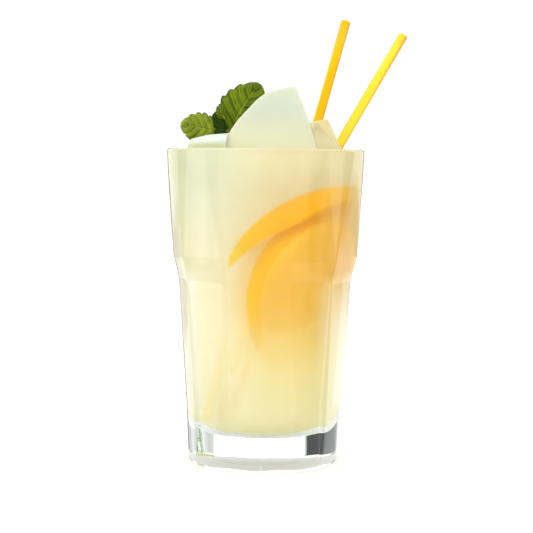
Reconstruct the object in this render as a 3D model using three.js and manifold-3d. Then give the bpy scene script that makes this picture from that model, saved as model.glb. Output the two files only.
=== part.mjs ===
// Iced lemonade in a tall ten-sided glass tumbler, with ice, two straws and a sprig of mint.
// Millimetres, +Z up. The origin is the centre of the glass's flat underside. The front faces -Y.
import * as THREE from "three";
import { ConvexGeometry } from "three/addons/geometries/ConvexGeometry.js";
import { mergeVertices } from "three/addons/utils/BufferGeometryUtils.js";
import Module from "manifold-3d";

const wasm = await Module();
wasm.setup();

// Space left between pieces that touch
const GAP = 0.3;

// The glass: radii are those of its corners. It is round at the rim, and its flats run down to the foot
const GLASS = {
  height: 132,
  rimRadius: 41.5,
  lipRadius: 1.1,
  shoulderTop: { radius: 39.3, z: 87 },
  shoulderBottom: { radius: 36.9, z: 77.5 },
  waist: { radius: 32.8, z: 25 },
  footRadius: 31.8,
  footBevel: 1.2,
  panels: 10,
  cornerAzimuth: 12,
  panelTop: { radius: 44.8, z: 133 },
  panelFoot: { radius: 32.2, z: -1 },
  roundSides: 60,
};

// The hollow: a bowl-shaped bottom, a narrow well, a soft step and a wide mouth
const WELL = {
  floor: 13,
  floorFlat: 14.4,
  bowlWidth: 13,
  bowlRise: 12,
  neckRadius: 32.2,
  neckZ: 71,
  mouthRadius: 35.9,
  mouthZ: 88,
  stepSteps: 5,
  bowlSteps: 6,
};
const DRINK_LEVEL = 130.6;

// The straws: slender tubes that lean on the rim
const STRAW = { radius: 2.1, wall: 0.3, sides: 12 };
const LEFT_STRAW = { top: [34.9, 40.7, 189.1], foot: [-12.9, -0.4, 16.6] };
const RIGHT_STRAW = {
  top: [59.9, 34.5, 182.8],
  rim: [30.8, 21, 132.5],
  foot: [-20.4, -9, 19],
  flexZ: 78,
  steps: 14,
};

// The ice: each piece is the hull of its corners [x, y, z]
const PEAK = {
  // outline seen from the front, from the left foot over the top to the right foot
  outline: [
    [-18.6, 131], [-14.7, 139.7], [-11.5, 144.3], [-7.6, 148.8], [-3.9, 152.7], [-0.1, 155.6],
    [6.4, 157.6], [12.3, 158.6], [18.3, 143.4], [21.5, 131],
  ],
  topZ: 158.6,
  topHalfDepth: 2.2,
  depthSlope: 0.34,
  keel: [[-12, -7, 113], [13, -8, 112], [15, 7, 114], [-10, 8, 115]],
};
const RIGHT_ICE = [
  [15, -7, 142.2], [20.9, -7.5, 143.8], [25.7, -5.5, 144.9], [16, 6, 142.6], [24.5, 5, 144],
  [29.3, -8, 135.8], [28.6, 7, 136.2], [32.4, -9, 130.5], [31.2, 7, 129], [14, -11, 131],
  [15, 9, 131], [27, -7, 117], [26, 6, 116], [17, -8, 115], [16, 6, 117],
];
const LEFT_ICE = [
  [-31.3, -8, 135.9], [-24, -8, 137.7], [-15.5, -7.5, 138.7], [-30.6, 1, 135.4], [-15.5, 2, 138],
  [-32.2, -13, 134.1], [-24.5, -14.6, 134.4], [-15, -14.2, 136.2], [-32.6, -12.6, 128],
  [-16, -15.6, 127], [-31.8, 1.6, 127], [-16, 3, 127], [-28, -10, 116], [-18, -11, 115],
  [-27, 0, 117], [-18, 1, 116],
];

// The mint: each leaf goes from base to tip, face names the direction its upper side looks to
const LEAF_THICKNESS = 0.7;
const LEAVES = {
  mint_leaf_large: {
    base: [-16, 12, 139.1], tip: [-3.4, 10.2, 159.9], face: [-0.12, -1, 0.2], halfWidth: 10.8,
    teeth: 6, toothDepth: 1, ribs: 6, ribHeight: 0.55, cup: 1.6, fullness: 0.62, taper: 0.42,
    skew: 0.04, color: 0x82930f,
  },
  mint_leaf_left: {
    base: [-21.9, 8.2, 139.6], tip: [-35.7, 5, 142.3], face: [-0.25, -1, 0.3], halfWidth: 7.2,
    teeth: 5, toothDepth: 0.8, ribs: 5, ribHeight: 0.5, cup: 1.2, fullness: 0.6, taper: 0.18,
    skew: 0, color: 0x68722b,
  },
  mint_leaf_small: {
    base: [-18.1, 8.4, 144.9], tip: [-20.2, 7.6, 150.1], face: [0, -1, 0.35], halfWidth: 2.4,
    teeth: 3, toothDepth: 0.3, ribs: 3, ribHeight: 0.15, cup: 0.5, fullness: 0.65, taper: 0.3,
    skew: 0, color: 0x98ad2e,
  },
  mint_leaf_dark: {
    base: [-18.3, 16.5, 137.6], tip: [-20.5, 16, 148.3], face: [0.1, -1, 0.1], halfWidth: 5.8,
    teeth: 5, toothDepth: 0.6, ribs: 4, ribHeight: 0.35, cup: 0.9, fullness: 0.6, taper: 0.3,
    skew: 0, color: 0x284b19,
  },
};
const STEM = {
  radius: 1.05,
  sides: 10,
  steps: 6,
  top: [-19, 13, 140.5],
  middle: [-19.6, 14.4, 130],
  foot: [-18.6, 12.5, 114],
};

const rad = THREE.MathUtils.degToRad;
const vec = (p) => new THREE.Vector3(...p);

// A closed geometry as a solid for joining and cutting, and a solid back as a geometry
function solid(geometry) {
  const bare = geometry.clone();
  bare.deleteAttribute("normal");
  bare.deleteAttribute("uv");
  const merged = mergeVertices(bare, 1e-3);
  return new wasm.Manifold(
    new wasm.Mesh({
      numProp: 3,
      vertProperties: merged.attributes.position.array,
      triVerts: new Uint32Array(merged.index.array),
    }),
  );
}

function shape(made) {
  const mesh = made.getMesh();
  const geometry = new THREE.BufferGeometry();
  geometry.setAttribute("position", new THREE.BufferAttribute(mesh.vertProperties, 3));
  geometry.setIndex(new THREE.BufferAttribute(mesh.triVerts, 1));
  geometry.computeVertexNormals();
  return geometry;
}

// A body turned about the Z axis from [radius, z] points; azimuth 0 is the front
function turned(profile, sides, startDegrees = 0) {
  const points = profile.map(([radius, z]) => new THREE.Vector2(radius, z));
  return new THREE.LatheGeometry(points, sides, rad(startDegrees)).rotateX(Math.PI / 2);
}

// Points of an arc of an ellipse, from one angle to another in degrees
function arc(centre, width, rise, from, to, steps) {
  return Array.from({ length: steps + 1 }, (_, i) => {
    const angle = rad(from + ((to - from) * i) / steps);
    return [centre[0] + width * Math.cos(angle), centre[1] + rise * Math.sin(angle)];
  });
}

// The hollow's outline from the middle of its floor to the lip, made smaller all round by an inset
function wellProfile(inset, top) {
  const { floor, floorFlat, bowlWidth, bowlRise, neckRadius, neckZ, mouthRadius, mouthZ } = WELL;
  const bowlCentre = [floorFlat, floor + bowlRise];
  const bowl = arc(bowlCentre, bowlWidth - inset, bowlRise - inset, -90, 0, WELL.bowlSteps);
  const step = Array.from({ length: WELL.stepSteps + 1 }, (_, i) => {
    const part = i / WELL.stepSteps;
    const eased = part * part * (3 - 2 * part);
    return [neckRadius - inset + (mouthRadius - neckRadius) * eased, neckZ + (mouthZ - neckZ) * part];
  });
  const lipInner = GLASS.rimRadius - 2 * GLASS.lipRadius;
  const lipZ = GLASS.height - GLASS.lipRadius;
  const share = (top - mouthZ) / (lipZ - mouthZ);
  const last = [mouthRadius + (lipInner - mouthRadius) * share - inset, top];
  return [[0, floor + inset], ...bowl, ...step, last];
}

function makeGlass() {
  const { height, rimRadius, lipRadius, footRadius, footBevel } = GLASS;
  const { shoulderTop, shoulderBottom, waist, panelTop, panelFoot } = GLASS;
  const lipCentre = [rimRadius - lipRadius, height - lipRadius];
  const round = solid(
    turned(
      [
        [0, 0],
        [footRadius - footBevel, 0],
        [footRadius, footBevel],
        [waist.radius, waist.z],
        [shoulderBottom.radius, shoulderBottom.z],
        [shoulderTop.radius, shoulderTop.z],
        ...arc(lipCentre, lipRadius, lipRadius, 0, 180, 6),
        ...wellProfile(0, height - lipRadius).reverse(),
      ],
      GLASS.roundSides,
      GLASS.cornerAzimuth,
    ),
  );
  const panels = solid(
    turned(
      [
        [0, panelFoot.z],
        [panelFoot.radius, panelFoot.z],
        [shoulderBottom.radius, shoulderBottom.z],
        [shoulderTop.radius, shoulderTop.z],
        [panelTop.radius, panelTop.z],
        [0, panelTop.z],
      ],
      GLASS.panels,
      GLASS.cornerAzimuth,
    ),
  );
  return round.intersect(panels);
}

// The hull of corners, each moved out from their middle by the swell
function hull(corners, swell = 0) {
  const points = corners.map(vec);
  const middle = new THREE.Vector3();
  points.forEach((point) => middle.addScaledVector(point, 1 / points.length));
  points.forEach((point) => point.add(point.clone().sub(middle).setLength(swell)));
  return solid(new ConvexGeometry(points));
}

function peakCorners() {
  const halfDepth = (z) => PEAK.topHalfDepth + (PEAK.topZ - z) * PEAK.depthSlope;
  const sides = [-1, 1].flatMap((side) => PEAK.outline.map(([x, z]) => [x, side * halfDepth(z), z]));
  return [...sides, ...PEAK.keel];
}

// A tube or rod of a round section along a path
function along(path, radius, bore, sides, steps) {
  const lastAngle = 360 - 360 / sides;
  const circle = (r) => arc([0, 0], r, r, 0, lastAngle, sides - 1).map((p) => new THREE.Vector2(...p));
  const section = new THREE.Shape(circle(radius));
  if (bore > 0) section.holes.push(new THREE.Path(circle(bore)));
  return solid(new THREE.ExtrudeGeometry(section, { extrudePath: path, steps, curveSegments: sides }));
}

const leftStrawPath = new THREE.LineCurve3(vec(LEFT_STRAW.foot), vec(LEFT_STRAW.top));

// The right straw is straight above the rim and bends a little inside, where the slices press on it
function rightStrawPath() {
  const [top, rim, foot] = [RIGHT_STRAW.top, RIGHT_STRAW.rim, RIGHT_STRAW.foot].map(vec);
  const lean = top.clone().sub(rim);
  const bend = rim.clone().addScaledVector(lean, (RIGHT_STRAW.flexZ - rim.z) / lean.z);
  const path = new THREE.CurvePath();
  path.add(new THREE.QuadraticBezierCurve3(foot, bend, rim));
  path.add(new THREE.LineCurve3(rim, top));
  return path;
}

// A thin leaf: one grid serves both faces, split along the same diagonals, and a narrow band closes its edge
function makeLeaf(leaf) {
  const { halfWidth, teeth, toothDepth, ribs, ribHeight, cup, fullness, taper, skew } = leaf;
  const stepsPerTooth = 4;
  const rows = teeth * stepsPerTooth;
  const columns = teeth > 3 ? 12 : 6;
  const base = vec(leaf.base);
  const spine = vec(leaf.tip).sub(base);
  const length = spine.length();
  const ahead = spine.clone().normalize();
  const side = new THREE.Vector3().crossVectors(vec(leaf.face), ahead).normalize();
  const face = new THREE.Vector3().crossVectors(ahead, side);
  // half the width at a share of the length, with forward-pointing teeth
  const edge = (t) => {
    const neck = THREE.MathUtils.smoothstep(t / taper + 0.12, 0, 1);
    const oval = Math.sin(Math.PI * Math.pow(t, fullness + 0.12)) ** fullness * neck;
    const tooth = toothDepth * ((t * teeth) % 1) * Math.min(1, 6 * t, 6 * (1 - t));
    return Math.max(0.4, (halfWidth - toothDepth) * oval + tooth);
  };
  const at = (t, s, offset) => {
    const across = s * edge(t) + skew * halfWidth * Math.sin(Math.PI * t);
    const rib = Math.sin(2 * Math.PI * (ribs * t - 1.6 * Math.abs(s)));
    const lift = -cup * s * s + ribHeight * rib * Math.abs(s) * Math.sin(Math.PI * t) + offset;
    const spot = base.clone().addScaledVector(ahead, t * length);
    return spot.addScaledVector(side, across).addScaledVector(face, lift);
  };
  const grid = new THREE.PlaneGeometry(1, 1, columns, rows);
  const count = grid.attributes.position.count;
  const positions = [];
  [LEAF_THICKNESS / 2, -LEAF_THICKNESS / 2].forEach((offset) => {
    for (let i = 0; i < count; i += 1) {
      const s = 2 * grid.attributes.position.getX(i);
      const t = 0.5 - grid.attributes.position.getY(i);
      positions.push(...at(t, s, offset).toArray());
    }
  });
  const front = Array.from(grid.index.array);
  const faces = [...front];
  for (let i = 0; i < front.length; i += 3) {
    faces.push(count + front[i], count + front[i + 2], count + front[i + 1]);
  }
  const wide = columns + 1;
  const border = [];
  for (let r = 0; r < rows; r += 1) border.push(r * wide);
  for (let c = 0; c < columns; c += 1) border.push(rows * wide + c);
  for (let r = rows; r > 0; r -= 1) border.push(r * wide + columns);
  for (let c = columns; c > 0; c -= 1) border.push(c);
  border.forEach((a, i) => {
    const b = border[(i + 1) % border.length];
    faces.push(a, count + a, b, b, count + a, count + b);
  });
  const geometry = new THREE.BufferGeometry();
  geometry.setAttribute("position", new THREE.Float32BufferAttribute(positions, 3));
  geometry.setIndex(faces);
  return solid(geometry);
}

const glass = makeGlass();
const peak = hull(peakCorners());
const iceRight = hull(RIGHT_ICE).subtract(hull(peakCorners(), 2 * GAP));
const iceLeft = hull(LEFT_ICE).subtract(hull(peakCorners(), 2 * GAP));
const straws = {
  straw_left: { path: leftStrawPath, steps: 1 },
  straw_right: { path: rightStrawPath(), steps: RIGHT_STRAW.steps },
};
const stemPath = new THREE.CatmullRomCurve3([STEM.foot, STEM.middle, STEM.top].map(vec));

// The drink fills the hollow up to its level and is cut round everything that stands in it
function makeDrink() {
  const profile = wellProfile(GAP, DRINK_LEVEL);
  let drink = solid(turned([...profile, [0, DRINK_LEVEL]], GLASS.roundSides, GLASS.cornerAzimuth));
  [peakCorners(), RIGHT_ICE, LEFT_ICE].forEach((corners) => {
    drink = drink.subtract(hull(corners, 2 * GAP));
  });
  Object.values(straws).forEach(({ path, steps }) => {
    drink = drink.subtract(along(path, STRAW.radius + GAP, 0, STRAW.sides, steps));
  });
  return drink.subtract(along(stemPath, STEM.radius + GAP, 0, STEM.sides, STEM.steps));
}

const finish = (color, roughness, more = {}) =>
  new THREE.MeshStandardMaterial({ color, roughness, metalness: 0, ...more });
const clearGlass = finish(0xf4f7f4, 0.03, { transparent: true, opacity: 0.3 });
const cloudyDrink = finish(0xf3e6b2, 0.15);
const milkyIce = finish(0xe7ead1, 0.2);
const amberPlastic = finish(0xfcc80c, 0.35);
const yellowPlastic = finish(0xfee250, 0.35);
const stemGreen = finish(0x7f9427, 0.5);
const leafGreen = (color) => finish(color, 0.5);

const lemonade = new THREE.Group();

function addPart(name, made, material) {
  const mesh = new THREE.Mesh(shape(made), material);
  mesh.name = name;
  lemonade.add(mesh);
}

addPart("glass", glass, clearGlass);
addPart("lemonade", makeDrink(), cloudyDrink);
addPart("ice_peak", peak, milkyIce);
addPart("ice_right", iceRight, milkyIce);
addPart("ice_left", iceLeft, milkyIce);
Object.entries(straws).forEach(([name, { path, steps }]) => {
  const tube = along(path, STRAW.radius, STRAW.radius - STRAW.wall, STRAW.sides, steps);
  addPart(name, tube, name === "straw_left" ? amberPlastic : yellowPlastic);
});
addPart("mint_stem", along(stemPath, STEM.radius, 0, STEM.sides, STEM.steps), stemGreen);
Object.entries(LEAVES).forEach(([name, leaf]) => addPart(name, makeLeaf(leaf), leafGreen(leaf.color)));

export default lemonade;
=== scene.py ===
# %% [markdown]
# Iced lemonade in a ten-sided glass
#
# This notebook dresses a measured model of a cold drink: a tall glass tumbler filled to the brim with
# cloudy lemonade, with ice, two slim straws, a sprig of mint and two lemon slices sunk in the drink.
# The measured model gives the place and the size of every piece. Here each piece gets the fine shape
# and the finish that a photograph of the real thing would show.

# %% Load the measured model
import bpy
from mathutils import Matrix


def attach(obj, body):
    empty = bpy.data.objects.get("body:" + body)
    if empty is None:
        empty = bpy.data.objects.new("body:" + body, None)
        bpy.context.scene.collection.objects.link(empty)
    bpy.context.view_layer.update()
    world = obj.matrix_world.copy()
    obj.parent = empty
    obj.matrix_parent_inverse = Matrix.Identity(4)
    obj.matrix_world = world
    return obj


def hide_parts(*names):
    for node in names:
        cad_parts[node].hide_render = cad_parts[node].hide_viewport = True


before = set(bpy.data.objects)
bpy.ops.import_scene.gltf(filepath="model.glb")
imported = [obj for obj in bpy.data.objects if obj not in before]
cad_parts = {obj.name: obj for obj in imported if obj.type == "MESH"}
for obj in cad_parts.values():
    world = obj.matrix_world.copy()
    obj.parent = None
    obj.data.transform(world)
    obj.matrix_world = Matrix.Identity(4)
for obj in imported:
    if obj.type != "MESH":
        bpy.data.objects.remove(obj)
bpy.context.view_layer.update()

# %% Tools for the lesson
import math

import bmesh
import bpy
from mathutils import Matrix, Vector

MM = 0.001
scene = bpy.context.scene

# %% [markdown]
# The camera comes first, because every later choice is judged through it. The photograph was taken from
# about the height of the rim with a long lens, so the rim is seen edge on while the foot shows as a
# shallow curve. The whole picture is turned clockwise by about half a degree. A camera that is placed by
# its distance, height, pitch and roll says this plainly, and a matrix built from its three directions
# needs no trial turns.

# %% Camera
CAMERA_DISTANCE = 700 * MM
CAMERA_HEIGHT = 125.4 * MM
CAMERA_PITCH = math.radians(3.51)
CAMERA_ROLL = math.radians(0.64)
CAMERA_YAW = math.radians(0.07)
LENS_MM = 111.95

forward = Vector((
    math.sin(CAMERA_YAW) * math.cos(CAMERA_PITCH),
    math.cos(CAMERA_YAW) * math.cos(CAMERA_PITCH),
    -math.sin(CAMERA_PITCH),
))
level_right = Vector((math.cos(CAMERA_YAW), -math.sin(CAMERA_YAW), 0))
level_up = level_right.cross(forward)
right = level_right * math.cos(CAMERA_ROLL) + level_up * math.sin(CAMERA_ROLL)
up = level_up * math.cos(CAMERA_ROLL) - level_right * math.sin(CAMERA_ROLL)

camera_data = bpy.data.cameras.new("photo_camera")
camera_data.lens = LENS_MM
camera_data.sensor_width = 36
camera = bpy.data.objects.new("photo_camera", camera_data)
camera.matrix_world = Matrix((
    (right.x, up.x, -forward.x, 0),
    (right.y, up.y, -forward.y, -CAMERA_DISTANCE),
    (right.z, up.z, -forward.z, CAMERA_HEIGHT),
    (0, 0, 0, 1),
))
scene.collection.objects.link(camera)
scene.camera = camera
print("camera", [round(v, 3) for v in camera.location], "lens", LENS_MM)

# %% [markdown]
# A small kit for materials. A node tree is easier to read when each node is made by one short call that
# names its inputs, so these helpers make a material, add a node with its values, and join sockets.

# %% Helpers for materials
def srgb(red, green, blue):
    """A colour given in 0 to 255 as the linear colour that shaders work in."""
    def linear(value):
        share = value / 255
        return share / 12.92 if share <= 0.04045 else ((share + 0.055) / 1.055) ** 2.4
    return (linear(red), linear(green), linear(blue), 1)


class Nodes:
    """The node tree of a material or of the world."""

    def __init__(self, owner, output_kind="OutputMaterial"):
        owner.use_nodes = True
        self.owner = owner
        self.tree = owner.node_tree
        self.tree.nodes.clear()
        self.output = self.tree.nodes.new("ShaderNode" + output_kind)

    def add(self, kind, inputs=None, **settings):
        node = self.tree.nodes.new("ShaderNode" + kind)
        for key, value in settings.items():
            setattr(node, key, value)
        for key, value in (inputs or {}).items():
            self.put(node, key, value)
        return node

    def put(self, node, key, value):
        if isinstance(value, bpy.types.NodeSocket):
            self.tree.links.new(value, node.inputs[key])
        else:
            node.inputs[key].default_value = value

    def math(self, operation, *values, clamp=False):
        node = self.add("Math", operation=operation, use_clamp=clamp)
        for index, value in enumerate(values):
            self.put(node, index, value)
        return node.outputs[0]

    def vector(self, operation, *values):
        node = self.add("VectorMath", operation=operation)
        for index, value in enumerate(values):
            self.put(node, index, value)
        return node.outputs[1 if operation in ("LENGTH", "DOT_PRODUCT", "DISTANCE") else 0]

    def smooth(self, value, low, high, start=0.0, end=1.0):
        node = self.add("MapRange", {
            "Value": value, "From Min": low, "From Max": high, "To Min": start, "To Max": end,
        }, interpolation_type="SMOOTHSTEP")
        return node.outputs["Result"]

    def mix(self, share, first, second, blend="MIX"):
        node = self.add("Mix", data_type="RGBA", blend_type=blend)
        self.put(node, 0, share)
        self.put(node, 6, first)
        self.put(node, 7, second)
        return node.outputs[2]

    def place(self):
        """The point being shaded, in metres in the shared frame, and its three parts."""
        point = self.add("TexCoord").outputs["Object"]
        parts = self.add("SeparateXYZ", {0: point})
        return point, parts.outputs[0], parts.outputs[1], parts.outputs[2]

    def noise(self, point, scale, detail=3.0, roughness=0.5):
        node = self.add("TexNoise", {
            "Vector": point, "Scale": scale, "Detail": detail, "Roughness": roughness})
        return node.outputs["Fac"]

    def bump(self, height, strength, distance):
        node = self.add("Bump", {"Height": height, "Strength": strength, "Distance": distance})
        return node.outputs["Normal"]

    def finish(self, shader, volume=None):
        self.tree.links.new(shader.outputs[0], self.output.inputs["Surface"])
        if volume is not None:
            self.tree.links.new(volume.outputs[0], self.output.inputs["Volume"])
        return self.owner


def new_material(name):
    """A material with an empty node tree, ready to be filled and finished."""
    return Nodes(bpy.data.materials.new(name))

# %% [markdown]
# A second kit turns a bmesh into a finished piece. Every piece is made in place in the shared frame, so
# its object stays at the origin. It rides on the glass's one body, takes its finish from a named slot,
# and hides the measured solid that it stands for.

# %% Helpers for pieces
def finish_piece(bm, name, materials, stands_for=(), smooth=True):
    """Writes a bmesh to a new object, gives it its materials and hides the measured parts that it stands
    for.
    """
    mesh = bpy.data.meshes.new(name)
    bm.to_mesh(mesh)
    bm.free()
    if smooth:
        mesh.shade_smooth()
    for material in materials:
        mesh.materials.append(material)
    piece = bpy.data.objects.new(name, mesh)
    scene.collection.objects.link(piece)
    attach(piece, "root")
    if stands_for:
        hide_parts(*stands_for)
    print(name, len(mesh.polygons), "faces")
    return piece


def spin_profile(profile, steps):
    """A closed body of revolution, spun from [radius, height] points in millimetres."""
    bm = bmesh.new()
    points = [bm.verts.new((radius * MM, 0, height * MM)) for radius, height in profile]
    edges = [bm.edges.new(pair) for pair in zip(points, points[1:])]
    bmesh.ops.spin(
        bm, geom=points + edges, cent=(0, 0, 0), axis=(0, 0, 1), angle=math.tau, steps=steps,
        use_merge=True)
    bmesh.ops.remove_doubles(bm, verts=bm.verts, dist=1e-6)
    bmesh.ops.recalc_face_normals(bm, faces=bm.faces)
    return bm


def ellipse_arc(centre, width, rise, start, end, steps):
    """Points of an arc of an ellipse, angles in degrees."""
    angles = [math.radians(start + (end - start) * i / steps) for i in range(steps + 1)]
    return [(centre[0] + width * math.cos(a), centre[1] + rise * math.sin(a)) for a in angles]


def along_lines(knots, z):
    """The radius at a height on a run of straight lines through [radius, height] knots."""
    for (r0, z0), (r1, z1) in zip(knots, knots[1:]):
        if z <= z1:
            return r0 + (r1 - r0) * (z - z0) / (z1 - z0)
    return knots[-1][0]

# %% [markdown]
# The tumbler is pressed glass: a round rim and a round foot with ten flat panels between them, in a wide
# upper band and a narrower lower body that meet at a shoulder. One way to make it is to cut flats off a
# turned body with a plane for each. Here a fine turned body is spun and its outer skin is drawn in to the
# nearest panel instead, because a soft minimum of the two radii also rounds the panels' edges, as a mould
# does, and those soft edges make the thin lines of light on real glass.

# %% Sizes of the glass
HEIGHT = 132.0
RIM_RADIUS = 41.5
LIP_RADIUS = 1.1
PANELS = 10
CORNER_AZIMUTH = 12.0
ROUND_KNOTS = [
    (30.6, 0), (31.8, 1.2), (32.8, 25), (36.9, 77.5), (39.3, 87), (RIM_RADIUS, HEIGHT - LIP_RADIUS)]
CORNER_KNOTS = [(32.2, -1), (36.9, 77.5), (39.3, 87), (44.8, 133)]
EDGE_SOFTNESS = 0.55
CORNER_SOFTNESS = 1.2

WELL_FLOOR = 13.0
BOWL_CENTRE = (14.4, 25.0)
BOWL_WIDTH = 13.0
BOWL_RISE = 12.0
NECK = (32.2, 71.0)
MOUTH = (35.9, 88.0)
LIP_INNER = (RIM_RADIUS - 2 * LIP_RADIUS, HEIGHT - LIP_RADIUS)


def well_radius(z):
    """The radius of the glass's hollow at a height."""
    if z < BOWL_CENTRE[1]:
        drop = min(1.0, (BOWL_CENTRE[1] - z) / BOWL_RISE)
        return BOWL_CENTRE[0] + BOWL_WIDTH * math.sqrt(1 - drop * drop)
    wall = BOWL_CENTRE[0] + BOWL_WIDTH
    if z < NECK[1]:
        return wall + (NECK[0] - wall) * (z - BOWL_CENTRE[1]) / (NECK[1] - BOWL_CENTRE[1])
    if z < MOUTH[1]:
        part = (z - NECK[1]) / (MOUTH[1] - NECK[1])
        return NECK[0] + (MOUTH[0] - NECK[0]) * part * part * (3 - 2 * part)
    return MOUTH[0] + (LIP_INNER[0] - MOUTH[0]) * (z - MOUTH[1]) / (LIP_INNER[1] - MOUTH[1])


def softly_least(a, b, width):
    """The lesser of two lengths, with the change from one to the other rounded over a width."""
    h = max(0.0, min(1.0, 0.5 + 0.5 * (b - a) / width))
    return b + (a - b) * h - width * h * (1 - h)


def softened(knots, z, reach):
    """A run of lines with its bends rounded, as the mean of a few samples above and below."""
    offsets = (-1.0, -0.6, -0.2, 0.2, 0.6, 1.0)
    return sum(along_lines(knots, z + reach * o) for o in offsets) / len(offsets)


def outer_radius(azimuth, z):
    """The radius of the outer skin at an azimuth in degrees and a height in millimetres."""
    soft = EDGE_SOFTNESS if 3 < z < HEIGHT - 4 else 0.01
    round_part = softened(ROUND_KNOTS, z, soft)
    panel = 360 / PANELS
    from_centre = math.radians((azimuth - CORNER_AZIMUTH) % panel - panel / 2)
    flat_distance = softened(CORNER_KNOTS, z, soft) * math.cos(math.radians(panel / 2))
    flat = flat_distance / math.cos(from_centre)
    return softly_least(round_part, flat, CORNER_SOFTNESS)

# %% Spin the tumbler and draw its skin in to the panels
ROUND_STEPS = 240
outer_heights = [1.2, 2, 3, 4.5, 6, 7, 8, 9, 10, 11, 12, 13, 14, 15, 16.5, 18, 20, 22.5, 25, 27.5, 30]
outer_heights += [34 + 4 * i for i in range(10)]
outer_heights += [73, 75, 76, 76.6, 77.1, 77.5, 77.9, 78.4, 79, 80.5, 82, 83.5, 85]
outer_heights += [86, 86.5, 87, 87.5, 88, 89, 91]
outer_heights += [94 + 2.5 * i for i in range(12)]
outer_heights += [123, 124, 125, 126, 127, 128, 129, 130]
outer_skin = [(along_lines(ROUND_KNOTS, z), z) for z in outer_heights]
lip = ellipse_arc((RIM_RADIUS - LIP_RADIUS, HEIGHT - LIP_RADIUS), LIP_RADIUS, LIP_RADIUS, 0, 180, 12)
inner_heights = [128, 124, 118, 112, 106, 100, 95, 91] + [88 - i for i in range(18)]
inner_heights += [66, 60, 54, 48, 42, 36, 30]
inner_skin = [(well_radius(z), z) for z in inner_heights]
bowl = ellipse_arc(BOWL_CENTRE, BOWL_WIDTH, BOWL_RISE, 0, -90, 16)
foot = [(0, 0), (12, 0), (24, 0), (29.6, 0), (30.4, 0.15), (31.2, 0.6)]
glass_profile = foot + outer_skin + lip + inner_skin + bowl + [(7, WELL_FLOOR), (0, WELL_FLOOR)]

glass_bm = spin_profile(glass_profile, ROUND_STEPS)
drawn_in = 0
for vert in glass_bm.verts:
    radius, z = math.hypot(vert.co.x, vert.co.y) / MM, vert.co.z / MM
    inside = z > WELL_FLOOR - 0.01 and radius < well_radius(z) + 0.3
    if inside or z > HEIGHT - LIP_RADIUS - 0.01 or radius < 28:
        continue
    azimuth = math.degrees(math.atan2(vert.co.x, -vert.co.y))
    share = outer_radius(azimuth, z) / radius
    vert.co.x *= share
    vert.co.y *= share
    drawn_in += 1
print("skin points drawn in to the panels", drawn_in)

# %% [markdown]
# Clear glass bends what is behind it, so its own colour matters less than what it shows. Its shader is a
# glass with a faint grey-green tint that builds up with thickness. For light that travels to the drink
# the glass is made plainly see-through, because light bent by glass reaches a drink only by slow chance,
# and the picture would stay dark and noisy.

# %% Glass material
GLASS_IOR = 1.5


def make_glass_material():
    n = new_material("clear_glass")
    glass = n.add("BsdfPrincipled", {
        "Base Color": (0.985, 0.993, 0.985, 1), "Roughness": 0.0, "IOR": GLASS_IOR,
        "Transmission Weight": 1.0})
    clear = n.add("BsdfTransparent", {"Color": (0.97, 0.98, 0.97, 1)})
    path = n.add("LightPath")
    lamp_light = n.math("MAXIMUM", path.outputs["Is Shadow Ray"], path.outputs["Is Diffuse Ray"])
    both = n.add("MixShader", {0: lamp_light, 1: glass.outputs[0], 2: clear.outputs[0]})
    tint = n.add("VolumeAbsorption", {"Color": (0.80, 0.92, 0.86, 1), "Density": 6.0})
    return n.finish(both, tint)


glass_material = make_glass_material()
finish_piece(glass_bm, "tumbler", [glass_material], stands_for=["glass"])

# %% [markdown]
# The drink is cloudy with juice and pulp. It fills the hollow from floor to brim and climbs a little at
# the wall. Its skin reaches a hair's breadth into the glass, so no film of air shows between them. Cloudy
# liquid could be fog alone, which light wanders through, but that is slow and noisy. Here a skin that is
# part milky and part clear does most of the work and a thinner fog fills the body: the milky share gives
# the pale yellow, and the clear share lets the sunk slices show through.

# %% Sizes of the drink
REACH = 0.15
LEVEL = 130.6
MENISCUS = [(0.3, 1.2), (-0.5, 0.9), (-1.5, 0.45), (-3.0, 0.12), (-6.0, 0.0)]

drink_heights = [25 + 2.3 * i for i in range(45)]
drink_side = [(well_radius(z) + REACH, z) for z in drink_heights]
drink_bowl = ellipse_arc(BOWL_CENTRE, BOWL_WIDTH + REACH, BOWL_RISE + REACH, -90, -6, 16)
rim_wall = well_radius(LEVEL) + REACH
surface = [(rim_wall, LEVEL + 0.4)] + [(rim_wall + out, LEVEL + climb) for out, climb in MENISCUS]
surface += [(24, LEVEL), (12, LEVEL), (0, LEVEL)]
drink_profile = [(0, WELL_FLOOR - REACH), (7, WELL_FLOOR - REACH)] + drink_bowl + drink_side + surface
drink_bm = spin_profile(drink_profile, 160)

# %% Where the slices lie
# the middle of each slice, the direction that its front face looks to, its radius and its thickness
SLICES = {
    "lemon_slice_back": ((9.4, -9.5, 103.0), (0.504, -0.079, -0.860), 24.1, 7.4),
    "lemon_slice_front": ((13.9, -10.8, 79.6), (0.691, -0.536, -0.484), 26.4, 6.2),
}

# %% [markdown]
# Fog blurs the slices, while on the real drink their outlines are sharp, because slices lean on the wall
# with hardly any juice between. So the skin of the drink is tinted in front of them. Four circles, seen
# from the front, are the outer and inner edges of the two rings of peel, and the tint between them is a
# colour of the skin in its own place, so it stays where it is from every side.

# %% Outlines of the slices on the wall
# each arc's middle (x, z) and radius, in millimetres
SLICE_ARCS = {
    "back_outer": (33.1, 63.9, 53.4), "back_inner": (36.3, 38.9, 67.6),
    "front_outer": (34.6, 69.3, 41.9), "front_inner": (36.7, 67.3, 38.7),
}

# %% Drink material
# the clear share stays on one side of about 0.75 all over, because the denoiser draws a line where it
# passes that
CLEAR_SHARE = 0.5
CLEAR_SHARE_AT_SLICES = 0.66
FOG = 46.0


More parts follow.
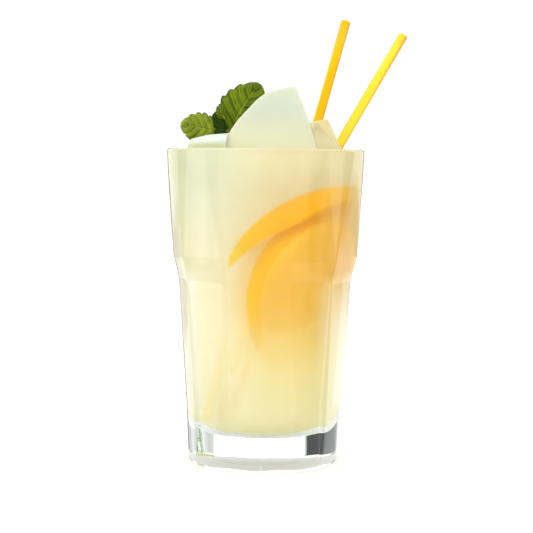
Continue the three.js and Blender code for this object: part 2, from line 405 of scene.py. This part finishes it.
def make_drink_material():
    n = new_material("cloudy_lemonade")
    point, x, y, z = n.place()
    low = n.smooth(z, 14 * MM, 60 * MM)
    high = n.smooth(z, 66 * MM, 128 * MM)
    to_right = n.smooth(x, -30 * MM, 12 * MM)
    left_colour = n.mix(high, srgb(252, 248, 214), srgb(227, 231, 203))
    right_colour = n.mix(high, srgb(242, 215, 122), srgb(225, 213, 168))
    body = n.mix(to_right, left_colour, right_colour)
    colour = n.mix(low, n.mix(to_right, srgb(246, 243, 200), srgb(238, 229, 174)), body)
    low_right = n.math("MULTIPLY", n.smooth(x, 19 * MM, 27 * MM), n.smooth(z, 84 * MM, 70 * MM))
    # the thin juice between the slices and the wall carries their outlines, and a golden glow of light
    # scattered from the slices is painted into its colour around them
    front = n.smooth(y, 10 * MM, -4 * MM)

    def past_arc(name):
        """How far, in metres, a point lies outside one of the arcs that the slices draw on the wall."""
        arc_x, arc_z, radius = (value * MM for value in SLICE_ARCS[name])
        across, along = n.math("SUBTRACT", x, arc_x), n.math("SUBTRACT", z, arc_z)
        squares = n.math("ADD", n.math("MULTIPLY", across, across), n.math("MULTIPLY", along, along))
        return n.math("SUBTRACT", n.math("SQRT", squares), radius)

    back_outside, back_inside = past_arc("back_outer"), past_arc("back_inner")
    front_outside, front_inside = past_arc("front_outer"), past_arc("front_inner")
    fade = n.math("MULTIPLY", front, n.smooth(z, 38 * MM, 78 * MM))
    # painted glow: light scattered from the slices, painted golden into the juice around them
    painted_glow = n.math("MULTIPLY", n.smooth(front_outside, 9 * MM, 0), n.smooth(back_outside, 0.5 * MM, -3 * MM))
    colour = n.mix(n.math("MULTIPLY", n.math("MULTIPLY", painted_glow, fade), 0.6), colour, srgb(250, 206, 100))
    flesh = n.math("MULTIPLY", n.smooth(front_outside, 0.6 * MM, -0.9 * MM), fade)
    flesh_colour = n.mix(n.smooth(x, 6 * MM, 34 * MM), srgb(252, 206, 74), srgb(236, 190, 86))
    colour = n.mix(n.math("MULTIPLY", flesh, 0.9), colour, flesh_colour)
    peel_colour = n.mix(n.smooth(x, -12 * MM, 8 * MM), srgb(250, 208, 6), srgb(252, 184, 0))
    peel_colour = n.mix(n.smooth(x, 12 * MM, 34 * MM), peel_colour, srgb(232, 190, 92))
    front_peel = n.math("MULTIPLY", flesh, n.smooth(front_inside, -1.6 * MM, 0.4 * MM))
    colour = n.mix(n.math("MULTIPLY", front_peel, 0.9), colour, peel_colour)
    back_peel = n.math("MULTIPLY", front, n.smooth(back_outside, 0.6 * MM, -0.9 * MM))
    back_peel = n.math("MULTIPLY", back_peel, n.smooth(back_inside, -1.0 * MM, 0.5 * MM))
    back_peel = n.math("MULTIPLY", back_peel, n.smooth(x, -15.4 * MM, -13.4 * MM))
    back_peel = n.math("MULTIPLY", back_peel, n.smooth(z, 83 * MM, 85.5 * MM))
    colour = n.mix(n.math("MULTIPLY", back_peel, 0.95), colour, peel_colour)
    colour = n.mix(n.math("MULTIPLY", low_right, 0.75), colour, srgb(250, 244, 204))
    # towards its sides the upper part is seen through more glass, which is darker and olive, so that shade
    # is painted into the colour there
    turned = n.add("LayerWeight", {"Blend": 0.5}).outputs["Facing"]
    edge = n.math("MULTIPLY", n.smooth(turned, 0.12, 0.30), n.smooth(z, 78 * MM, 88 * MM))
    colour = n.mix(n.math("MULTIPLY", edge, 0.4), colour, srgb(222, 212, 150))
    # at the sides of the narrow part the thick wall lets white in from behind, and that light is painted
    # into the colour as near-white
    painted_light_low_sides = n.math("MULTIPLY", n.smooth(turned, 0.25, 0.34), n.smooth(z, 84 * MM, 76 * MM))
    painted_light_low_sides = n.math("MULTIPLY", painted_light_low_sides, n.smooth(z, 20 * MM, 28 * MM))
    colour = n.mix(painted_light_low_sides, colour, srgb(254, 253, 238))
    # in front of the slices the juice has settled clearer, so that they show
    aside = n.math("DIVIDE", n.math("SUBTRACT", x, 14 * MM), 34 * MM)
    above = n.math("DIVIDE", n.math("SUBTRACT", z, 88 * MM), 38 * MM)
    squares = n.math("ADD", n.math("MULTIPLY", aside, aside), n.math("MULTIPLY", above, above))
    off = n.math("SQRT", squares)
    clear_share = n.smooth(off, 1.3, 0.7, CLEAR_SHARE, CLEAR_SHARE_AT_SLICES)
    milky = n.add("BsdfPrincipled", {
        "Base Color": colour, "Roughness": 0.06, "IOR": 1.33, "Transmission Weight": clear_share})
    shine = n.add("BsdfGlossy", {"Color": (1, 1, 1, 1), "Roughness": 0.0})
    # glass bends light more than the drink does, so a ray that skims along the wall is turned back by it
    skim = n.add("Fresnel", {"IOR": 1.35 / 1.52}).outputs[0]
    skim = n.math("MULTIPLY", skim, n.smooth(z, 90 * MM, 80 * MM))
    seen = n.add("MixShader", {0: skim, 1: milky.outputs[0], 2: shine.outputs[0]})
    # light that leaves the drink, or that feels its way to a lamp, goes straight through the skin
    path = n.add("LightPath")
    leaving = n.add("NewGeometry").outputs["Backfacing"]
    soft = n.math("MULTIPLY", path.outputs["Is Diffuse Ray"], leaving)
    passes = n.math("MAXIMUM", path.outputs["Is Shadow Ray"], soft)
    through = n.add("BsdfTransparent", {"Color": (1, 1, 1, 1)})
    skin = n.add("MixShader", {0: passes, 1: seen.outputs[0], 2: through.outputs[0]})
    fog = n.add("VolumeScatter", {"Color": srgb(255, 252, 236), "Density": FOG, "Anisotropy": 0.0})
    return n.finish(skin, fog)


drink_material = make_drink_material()
finish_piece(drink_bm, "lemonade_body", [drink_material], stands_for=["lemonade"])

# %% [markdown]
# Each ice piece is a broken shard: flat faces that meet at edges which melting has rounded. The hull
# operator closes a cloud of corners into such a shard, and a bevel softens the edges.

# %% Ice shapes
def make_ice(name, corners, material, stands_for, edge=0.9):
    bm = bmesh.new()
    for corner in corners:
        bm.verts.new(Vector(corner) * MM)
    hull = bmesh.ops.convex_hull(bm, input=bm.verts)
    bmesh.ops.delete(bm, geom=hull["geom_interior"], context="VERTS")
    bmesh.ops.dissolve_limit(
        bm, angle_limit=math.radians(4), verts=bm.verts, edges=bm.edges, use_dissolve_boundaries=False)
    bmesh.ops.bevel(
        bm, geom=list(bm.edges), offset=edge * MM, offset_type="OFFSET", segments=4, profile=0.5,
        affect="EDGES", material=-1, clamp_overlap=True)
    bmesh.ops.triangulate(bm, faces=bm.faces)
    bmesh.ops.recalc_face_normals(bm, faces=bm.faces)
    return finish_piece(bm, name, [material], stands_for=[stands_for])


def make_ice_material(name, low_colour, high_colour, low=130, high=150):
    n = new_material(name)
    point, x, y, z = n.place()
    # the colour changes with height; on the left slab this paints a highlight along its top
    colour = n.mix(n.smooth(z, low * MM, high * MM), low_colour, high_colour)
    cloud = n.noise(point, 90.0, 3.0)
    colour = n.mix(n.math("MULTIPLY", cloud, 0.2), colour, srgb(228, 231, 212))
    bump = n.bump(n.noise(point, 260.0, 2.0), 0.25, 0.4 * MM)
    ice = n.add("BsdfPrincipled", {
        "Base Color": colour, "Roughness": 0.22, "IOR": 1.31, "Transmission Weight": 0.12, "Normal": bump,
        "Subsurface Weight": 0.6, "Subsurface Scale": 4 * MM})
    ice.inputs["Subsurface Radius"].default_value = (1.0, 1.0, 0.7)
    return n.finish(ice)


PEAK_OUTLINE = [
    (-18.6, 131), (-14.7, 139.7), (-11.5, 144.3), (-7.6, 148.8), (-3.9, 152.7), (-0.1, 155.6),
    (6.4, 157.6), (12.3, 158.6), (18.3, 143.4), (21.5, 131),
]
PEAK_TOP = 158.6


def half_depth(z):
    return 2.2 + (PEAK_TOP - z) * 0.34


peak_corners = [(px, side * half_depth(pz), pz) for side in (-1, 1) for px, pz in PEAK_OUTLINE]
peak_corners += [(-12, -7, 113), (13, -8, 112), (15, 7, 114), (-10, 8, 115)]
right_corners = [
    (12, -6.5, 141.5), (20.9, -7.2, 143.8), (25.7, -5.5, 144.9), (12, 6, 141.6), (24.5, 5, 144),
    (29.3, -8, 135.8), (28.6, 7, 136.2), (32.4, -9, 130.5), (31.2, 7, 129), (13, -10.6, 131),
    (13, 9, 131), (27, -7, 117), (26, 6, 116), (19, -8, 115), (19, 6, 117),
]
left_corners = [
    (-31.3, -8, 135.9), (-24, -8, 137.7), (-15.5, -7.5, 138.5), (-30.6, 1, 135.4), (-15.5, 2, 138),
    (-32.2, -13, 134.1), (-24.5, -14.6, 134.4), (-16.5, -14.2, 136), (-32.6, -12.6, 128),
    (-17, -15.6, 127), (-31.8, 1.6, 127), (-18, 3, 127), (-28, -10, 116), (-18, -11, 115),
    (-27, 0, 117), (-18, 1, 116),
]
peak_ice = make_ice_material("peak_ice", srgb(236, 236, 200), srgb(214, 220, 200))
right_ice = make_ice_material("right_ice", srgb(226, 216, 170), srgb(224, 208, 146))
# the slab's narrow band of height paints a highlight: lighter along its top, darker and greener below
slab_ice = make_ice_material("slab_ice", srgb(214, 218, 184), srgb(222, 228, 220), 133.2, 135.2)
make_ice("ice_peak_shard", peak_corners, peak_ice, "ice_peak", edge=0.7)
make_ice("ice_right_shard", right_corners, right_ice, "ice_right", edge=0.6)
make_ice("ice_left_slab", left_corners, slab_ice, "ice_left", edge=0.6)

# %% [markdown]
# A straw is a thin drawn tube. A circle is swept along its line ring by ring and joined, then given the
# wall's thickness inwards. The left one is deep amber and the right one a lighter yellow, both satin.
# Thin plastic lets light through, so it is palest along its left side and deepest along its right. That
# light and shade is painted into the colour by the way that the surface faces, without a lamp of its own.

# %% Straws
STRAW_RADIUS = 2.1
STRAW_WALL = 0.3
STRAW_SIDES = 32


def sweep_tube(path, radius, wall, sides):
    """A tube with open ends along a list of points, joined from rings and thickened inwards."""
    bm = bmesh.new()
    rings = []
    for i, spot in enumerate(path):
        ahead = (path[min(i + 1, len(path) - 1)] - path[max(i - 1, 0)]).normalized()
        turn = ahead.to_track_quat("Z", "Y").to_matrix().to_4x4()
        made = bmesh.ops.create_circle(
            bm, segments=sides, radius=radius * MM, matrix=Matrix.Translation(spot * MM) @ turn)
        rings.append(made["verts"])
    for lower, upper in zip(rings, rings[1:]):
        edges = {e for ring in (lower, upper) for v in ring for e in v.link_edges if e.other_vert(v) in ring}
        bmesh.ops.bridge_loops(bm, edges=list(edges))
    bmesh.ops.recalc_face_normals(bm, faces=bm.faces)
    outward = sum(f.normal.dot(f.calc_center_median() - path[0] * MM) for f in bm.faces)
    if outward < 0:
        bmesh.ops.reverse_faces(bm, faces=bm.faces)
    bmesh.ops.solidify(bm, geom=list(bm.faces), thickness=wall * MM)
    bmesh.ops.recalc_face_normals(bm, faces=bm.faces)
    return bm


def make_straw_material(name, painted_lit_colour, middle_colour, painted_shade_colour):
    n = new_material(name)
    turned = n.add("SeparateXYZ", {0: n.add("NewGeometry").outputs["Normal"]}).outputs[0]
    # painted light and shade: deeper towards the right side, paler towards the left
    colour = n.mix(n.smooth(turned, 0.45, 0.95), middle_colour, painted_shade_colour)
    colour = n.mix(n.smooth(turned, -0.60, -0.98), colour, painted_lit_colour)
    straw = n.add("BsdfPrincipled", {
        "Base Color": colour, "Roughness": 0.3, "IOR": 1.46, "Specular IOR Level": 0.12})
    return n.finish(straw)


def bend_path(foot, bend, rim, top, steps):
    """A quadratic curve from foot to rim, then a straight run to the top."""
    a, b, c, d = (Vector(p) for p in (foot, bend, rim, top))
    shares = [i / steps for i in range(steps)]
    curve = [a * (1 - t) ** 2 + b * 2 * t * (1 - t) + c * t * t for t in shares]
    return curve + [c, c.lerp(d, 0.5), d]


LEFT_FOOT, LEFT_TOP = Vector((-12.9, -0.4, 16.6)), Vector((34.892, 40.691, 189.064))
left_path = [LEFT_FOOT.lerp(LEFT_TOP, i / 8) for i in range(9)]
RIGHT_FOOT = Vector((-20.4, -9, 19))
RIGHT_RIM, RIGHT_TOP = Vector((30.8, 21, 132.5)), Vector((59.9, 34.5, 182.8))
FLEX_Z = 78.0
lean = RIGHT_TOP - RIGHT_RIM
right_bend = RIGHT_RIM + lean * ((FLEX_Z - RIGHT_RIM.z) / lean.z)
right_path = bend_path(RIGHT_FOOT, right_bend, RIGHT_RIM, RIGHT_TOP, 16)

amber = make_straw_material("amber_straw", srgb(252, 236, 140), srgb(250, 188, 0), srgb(222, 156, 24))
yellow = make_straw_material("yellow_straw", srgb(240, 200, 60), srgb(252, 218, 56), srgb(226, 170, 30))
left_tube = sweep_tube(left_path, STRAW_RADIUS, STRAW_WALL, STRAW_SIDES)
finish_piece(left_tube, "straw_amber", [amber], ["straw_left"])
right_tube = sweep_tube(right_path, STRAW_RADIUS, STRAW_WALL, STRAW_SIDES)
finish_piece(right_tube, "straw_yellow", [yellow], ["straw_right"])

# %% [markdown]
# The slices are cut across a lemon: a ring of peel with an oily skin, a thin white pith, and flesh in
# wedges. So deep in cloudy juice only the peel and the flesh can be told apart. One profile is spun about
# the slice's axis, its faces take the two finishes by their distance from the middle, and the finished
# disc is turned into its place.

# %% Lemon slices
def slice_turn(middle, facing):
    """The matrix that takes a slice from its own axes, lying flat, to its place in the drink."""
    turn = Vector(facing).normalized().to_track_quat("Z", "Y").to_matrix().to_4x4()
    return Matrix.Translation(Vector(middle) * MM) @ turn


def make_peel_material():
    n = new_material("lemon_peel")
    point, x, y, z = n.place()
    pores = n.noise(point, 900.0, 2.0)
    colour = n.mix(n.noise(point, 60.0), srgb(255, 206, 2), srgb(255, 214, 10))
    return n.finish(n.add("BsdfPrincipled", {
        "Base Color": colour, "Roughness": 0.3, "Normal": n.bump(pores, 0.3, 0.3 * MM),
        "IOR": 1.1, "Transmission Weight": 0.1}))


def make_flesh_material():
    n = new_material("lemon_flesh")
    point, x, y, z = n.place()
    cells = n.noise(point, 300.0, 4.0)
    colour = n.mix(cells, srgb(250, 198, 24), srgb(255, 212, 44))
    return n.finish(n.add("BsdfPrincipled", {
        "Base Color": colour, "Roughness": 0.5, "Normal": n.bump(cells, 0.4, 0.5 * MM),
        "IOR": 1.1, "Transmission Weight": 0.15}))


peel_material = make_peel_material()
flesh_material = make_flesh_material()
PEEL = 2.4
PEEL_BULGE = 1.4
for slice_name, (middle, facing, radius, thickness) in SLICES.items():
    half = thickness / 2
    face_run = [(0, half), (radius - PEEL - 2, half), (radius - PEEL, half)]
    peel_run = ellipse_arc((radius - PEEL_BULGE, 0), PEEL_BULGE, half, 90, -90, 10)
    back_run = [(r, -z) for r, z in reversed(face_run)]
    bm = spin_profile(face_run + peel_run + back_run, 96)
    for face in bm.faces:
        spot = face.calc_center_median()
        face.material_index = 0 if math.hypot(spot.x, spot.y) > (radius - PEEL) * MM else 1
    bmesh.ops.transform(bm, matrix=slice_turn(middle, facing), verts=bm.verts)
    finish_piece(bm, slice_name, [peel_material, flesh_material])

# %% [markdown]
# Mint leaves are thin, toothed at the edge and puckered between their veins. A grid is laid along the
# midrib, its width follows the leaf's outline with a tooth at every few rows, and its height gives the
# ribs and the cupped shape. The grid's own place along and across the leaf is kept as a UV map, because
# the veins in the material have to follow the leaf wherever it turns.

# %% Leaf shapes
LEAF_THICKNESS = 0.45
LEAVES = {
    "mint_leaf_large": dict(
        base=(-16, 12, 139.1), tip=(-3.4, 10.2, 159.9), face=(-0.12, -1, 0.2), half_width=10.8, teeth=6,
        tooth=1.0, ribs=6, rib_height=0.55, cup=1.6, fullness=0.62, taper=0.42, skew=0.04, shade=0.0),
    "mint_leaf_left": dict(
        base=(-21.9, 8.2, 139.6), tip=(-35.7, 5, 142.3), face=(-0.25, -1, 0.3), half_width=7.2, teeth=5,
        tooth=0.8, ribs=5, rib_height=0.5, cup=1.2, fullness=0.6, taper=0.18, skew=0, shade=-0.5),
    "mint_leaf_small": dict(
        base=(-18.1, 8.4, 144.9), tip=(-20.2, 7.6, 150.1), face=(0, -1, 0.35), half_width=2.4, teeth=3,
        tooth=0.3, ribs=3, rib_height=0.15, cup=0.5, fullness=0.65, taper=0.3, skew=0, shade=-0.3),
    "mint_leaf_dark": dict(
        base=(-18.3, 16.5, 137.6), tip=(-20.5, 16, 148.3), face=(0.1, -1, 0.1), half_width=5.8, teeth=5,
        tooth=0.6, ribs=4, rib_height=0.35, cup=0.9, fullness=0.6, taper=0.3, skew=0, shade=1.0),
}
ROWS_A_TOOTH = 10
COLUMNS = 36
VEIN_SLANT = 1.6
LIGHT_LEAF = -0.4  # a shade below this takes the lighter greens


def leaf_edge(t, leaf):
    """Half the leaf's width at a share of its length, with teeth that point to the tip."""
    neck = min(1.0, t / leaf["taper"] + 0.12)
    neck = neck * neck * (3 - 2 * neck)
    oval = math.sin(math.pi * t ** (leaf["fullness"] + 0.12)) ** leaf["fullness"] * neck
    tooth = leaf["tooth"] * ((t * leaf["teeth"]) % 1) * min(1, 6 * t, 6 * (1 - t))
    return max(0.25, (leaf["half_width"] - leaf["tooth"]) * oval + tooth)


def make_leaf(name, leaf, material):
    bm = bmesh.new()
    rows = leaf["teeth"] * ROWS_A_TOOTH
    bmesh.ops.create_grid(bm, x_segments=COLUMNS, y_segments=rows, size=1.0, calc_uvs=False)
    uv = bm.loops.layers.uv.new("leaf")
    for face in bm.faces:
        for loop in face.loops:
            loop[uv].uv = ((loop.vert.co.x + 1) / 2, (loop.vert.co.y + 1) / 2)
    base, tip = Vector(leaf["base"]), Vector(leaf["tip"])
    ahead = (tip - base).normalized()
    side = Vector(leaf["face"]).cross(ahead).normalized()
    face_way = ahead.cross(side)
    for vert in bm.verts:
        s, t = vert.co.x, (vert.co.y + 1) / 2
        across = s * leaf_edge(t, leaf) + leaf["skew"] * leaf["half_width"] * math.sin(math.pi * t)
        rib = math.sin(2 * math.pi * (leaf["ribs"] * t - VEIN_SLANT * abs(s)))
        swell = leaf["rib_height"] * rib * abs(s) * math.sin(math.pi * t)
        crease = -0.35 * math.exp(-((s / 0.06) ** 2))
        lift = -leaf["cup"] * s * s + swell + crease
        vert.co = (base + ahead * t * (tip - base).length + side * across + face_way * lift) * MM
    bmesh.ops.recalc_face_normals(bm, faces=bm.faces)
    bmesh.ops.solidify(bm, geom=list(bm.faces), thickness=LEAF_THICKNESS * MM)
    bmesh.ops.recalc_face_normals(bm, faces=bm.faces)
    return finish_piece(bm, name + "_blade", [material], stands_for=[name])


def make_leaf_material(name, shade, ribs):
    n = new_material(name)
    uv = n.add("UVMap", uv_map="leaf").outputs[0]
    parts = n.add("SeparateXYZ", {0: uv})
    across = n.math("ABSOLUTE", n.math("SUBTRACT", n.math("MULTIPLY", parts.outputs[0], 2.0), 1.0))
    along = n.math("MULTIPLY", parts.outputs[1], float(ribs))
    wave = n.math("SUBTRACT", along, n.math("MULTIPLY", across, VEIN_SLANT))
    in_pocket = n.math("FRACT", n.math("ADD", wave, 8.25))
    near_vein = n.math("ABSOLUTE", n.math("SUBTRACT", in_pocket, 0.5))
    side_vein = n.smooth(near_vein, 0.07, 0.0)
    midrib = n.smooth(across, 0.06, 0.015)
    veins = n.math("MAXIMUM", side_vein, midrib)
    point = n.place()[0]
    patches = n.noise(point, 420.0, 4.0)
    # each pocket between two veins is painted dark along one vein and light towards the next, as painted
    # shade of the puckered relief, and broad patches of tone are added to it
    painted_pocket_shade = n.smooth(in_pocket, 0.35, 1.0)
    broad = n.smooth(n.noise(point, 150.0, 2.0), 0.35, 0.65)
    shade_and_tone = n.math("ADD", n.math("MULTIPLY", painted_pocket_shade, 0.4), n.math("MULTIPLY", broad, 0.35))
    shade_and_tone = n.math("ADD", shade_and_tone, n.math("MULTIPLY", patches, 0.3), clamp=True)
    if shade < LIGHT_LEAF:
        green = n.mix(shade_and_tone, srgb(78, 96, 6), srgb(156, 172, 44))
    else:
        green = n.mix(shade_and_tone, srgb(56, 76, 0), srgb(124, 144, 2))
    # painted shade: the dark leaf lies in the shadow of the others, so by its shade its greens are mixed
    # towards these darker ones
    dark = n.mix(shade_and_tone, srgb(30, 50, 4), srgb(62, 96, 14))
    blade = n.mix(max(shade, 0.0), green, dark)
    colour = n.mix(n.math("MULTIPLY", veins, 0.5 - 0.35 * max(shade, 0)), blade, srgb(172, 194, 44))
    rim = n.smooth(across, 0.86, 1.0)
    colour = n.mix(n.math("MULTIPLY", rim, 0.7), colour, srgb(30, 46, 2))
    height = n.math("ADD", n.math("MULTIPLY", patches, 0.5), n.math("MULTIPLY", veins, -0.6))
    return n.finish(n.add("BsdfPrincipled", {
        "Base Color": colour, "Roughness": 0.42, "Normal": n.bump(height, 0.6, 0.5 * MM),
        "Specular IOR Level": 0.15}))


for leaf_name, leaf in LEAVES.items():
    leaf_material = make_leaf_material(leaf_name + "_green", leaf["shade"], leaf["ribs"])
    make_leaf(leaf_name, leaf, leaf_material)

# %% Mint stem
def make_stem_material():
    n = new_material("mint_stem_green")
    point = n.place()[0]
    colour = n.mix(n.noise(point, 200.0), srgb(34, 54, 10), srgb(60, 86, 20))
    return n.finish(n.add("BsdfPrincipled", {
        "Base Color": colour, "Roughness": 0.45, "Specular IOR Level": 0.1}))


STEM_FOOT, STEM_MIDDLE = Vector((-18.6, 12.5, 114)), Vector((-19.6, 14.4, 130))
STEM_TOP = Vector((-19, 13, 140.5))
STEM_RADIUS = 1.05
STEM_WALL = 0.9
stem_path = [STEM_FOOT.lerp(STEM_MIDDLE, i / 5) for i in range(5)]
stem_path += [STEM_MIDDLE.lerp(STEM_TOP, i / 5) for i in range(6)]
stem_tube = sweep_tube(stem_path, STEM_RADIUS, STEM_WALL, 20)
finish_piece(stem_tube, "mint_sprig_stem", [make_stem_material()], ["mint_stem"])

# %% [markdown]
# The set is a white table and a white surround, as in the photograph. Glass on pure white would vanish, so
# photographers stand boards beside it that only the glass shows. Here the camera sees plain white, and the
# surround is darker in some directions for rays that the glass has bent or mirrored, which a Light Path
# node tells apart. The table is seen in the glass close to the foot alone. Past that the boards show, and
# they give the dark patch in the foot.

# %% Floor
floor_bm = bmesh.new()
bmesh.ops.create_grid(floor_bm, x_segments=1, y_segments=1, size=6.0)
floor_mesh = bpy.data.meshes.new("white_table")
floor_bm.to_mesh(floor_mesh)
floor_bm.free()
floor = bpy.data.objects.new("white_table", floor_mesh)
scene.collection.objects.link(floor)


def make_table_material():
    n = new_material("white_table")
    point, x, y, z = n.place()
    from_axis = n.math("SQRT", n.math("ADD", n.math("MULTIPLY", x, x), n.math("MULTIPLY", y, y)))
    path = n.add("LightPath")
    in_glass = path.outputs["Is Glossy Ray"]
    # painted shadow: the table is darker under and around the foot
    white = n.mix(n.smooth(from_axis, 33 * MM, 52 * MM), (0.84, 0.84, 0.84, 1), (0.92, 0.92, 0.92, 1))
    # the table seen straight in the glass takes a darker painted shadow
    painted_shadow_in_glass = n.math("MULTIPLY", in_glass, n.math("LESS_THAN", path.outputs["Glossy Depth"], 0.5))
    colour = n.mix(painted_shadow_in_glass, white, (0.74, 0.70, 0.73, 1))
    table = n.add("BsdfDiffuse", {"Color": colour})
    # what is seen in the glass, through it or mirrored, lies past the table: the boards of the studio
    past = n.math("MULTIPLY", in_glass, n.smooth(from_axis, 42 * MM, 43 * MM))
    clear = n.add("BsdfTransparent", {"Color": (1, 1, 1, 1)})
    return n.finish(n.add("MixShader", {0: past, 1: table.outputs[0], 2: clear.outputs[0]}))


floor_mesh.materials.append(make_table_material())

# %% Surround
BRIGHT = 1.23
TOP_GLOW = 0.3
BOARD_DEPTH = 0.85

world = bpy.data.worlds.new("white_studio")
scene.world = world
w = Nodes(world, "OutputWorld")
direction = w.add("TexCoord").outputs["Generated"]
wx, wy, wz = w.add("SeparateXYZ", {0: direction}).outputs
path = w.add("LightPath")
not_bent = w.math("SUBTRACT", 1.0, path.outputs["Is Transmission Ray"])
mirrored = w.math("MULTIPLY", path.outputs["Is Glossy Ray"], not_bent)
ahead = w.smooth(wy, 0.2, 0.4)
slant = w.math("DIVIDE", wx, w.math("MAXIMUM", wy, 0.05))
aside = w.math("ABSOLUTE", slant)


def darkest(*shares):
    """The greatest of several shares of darkness."""
    total = shares[0]
    for share in shares[1:]:
        total = w.math("MAXIMUM", total, share)
    return total


def all_of(*shares):
    """The product of several shares."""
    total = shares[0]
    for share in shares[1:]:
        total = w.math("MULTIPLY", total, share)
    return total


# %% Boards of the surround
sideways = w.math("ABSOLUTE", wx)
side_boards = all_of(
    w.smooth(sideways, 0.80, 0.84), w.smooth(sideways, 0.985, 0.95), w.smooth(wz, 0.5, 0.3))
# two low boards behind the glass, left and right of the middle, for what is seen through it
left_board = w.math("MULTIPLY", w.smooth(slant, -0.345, -0.375), 1.13)
right_board = w.math("MULTIPLY", w.smooth(slant, 0.42, 0.50), 0.5)
back_boards = all_of(
    w.smooth(wz, -0.40, -0.34), w.smooth(wz, 0.04, 0.0), w.smooth(wy, 0.3, 0.4),
    w.math("ADD", left_board, right_board), w.math("SUBTRACT", 1.0, mirrored))
# the outermost edges of the glass mirror what stands beside the line of sight
edge_boards = all_of(
    w.smooth(aside, 0.10, 0.18), w.smooth(aside, 0.36, 0.29), mirrored, ahead,
    w.smooth(wz, 0.3, 0.2, 0.0, 1.13))
# and the panels beside them mirror a grey strip, which is the height of the glass's upper band
grey_strip = all_of(
    w.smooth(aside, 0.29, 0.34), w.smooth(aside, 2.2, 1.4), w.smooth(wz, -0.14, -0.11),
    w.smooth(wz, -0.05, -0.08), mirrored, ahead, 0.6)
# the room behind the camera is dim, so what faces the camera mirrors little white
behind = all_of(w.smooth(wy, -0.2, -0.5), mirrored, 0.7)
dark = darkest(side_boards, back_boards, edge_boards, grey_strip, behind)
top = w.math("MULTIPLY", w.smooth(wz, 0.35, 0.75), TOP_GLOW)
white = w.math("SUBTRACT", w.math("ADD", 1.0, top), w.math("MULTIPLY", dark, BOARD_DEPTH))
lit = w.add("Background", {"Color": (1, 1, 1, 1), "Strength": w.math("MULTIPLY", white, BRIGHT)})
plain = w.add("Background", {"Color": (1, 1, 1, 1), "Strength": 1.05})
w.finish(w.add("MixShader", {0: path.outputs["Is Camera Ray"], 1: lit.outputs[0], 2: plain.outputs[0]}))
print("surround nodes", len(w.tree.nodes))

# %% Picture settings
scene.view_settings.view_transform = "Standard"
scene.view_settings.look = "None"
scene.view_settings.exposure = 0
scene.view_settings.gamma = 1
scene.cycles.max_bounces = 24
scene.cycles.transmission_bounces = 24
scene.cycles.transparent_max_bounces = 24
scene.cycles.diffuse_bounces = 6
scene.cycles.glossy_bounces = 12
scene.cycles.volume_bounces = 20
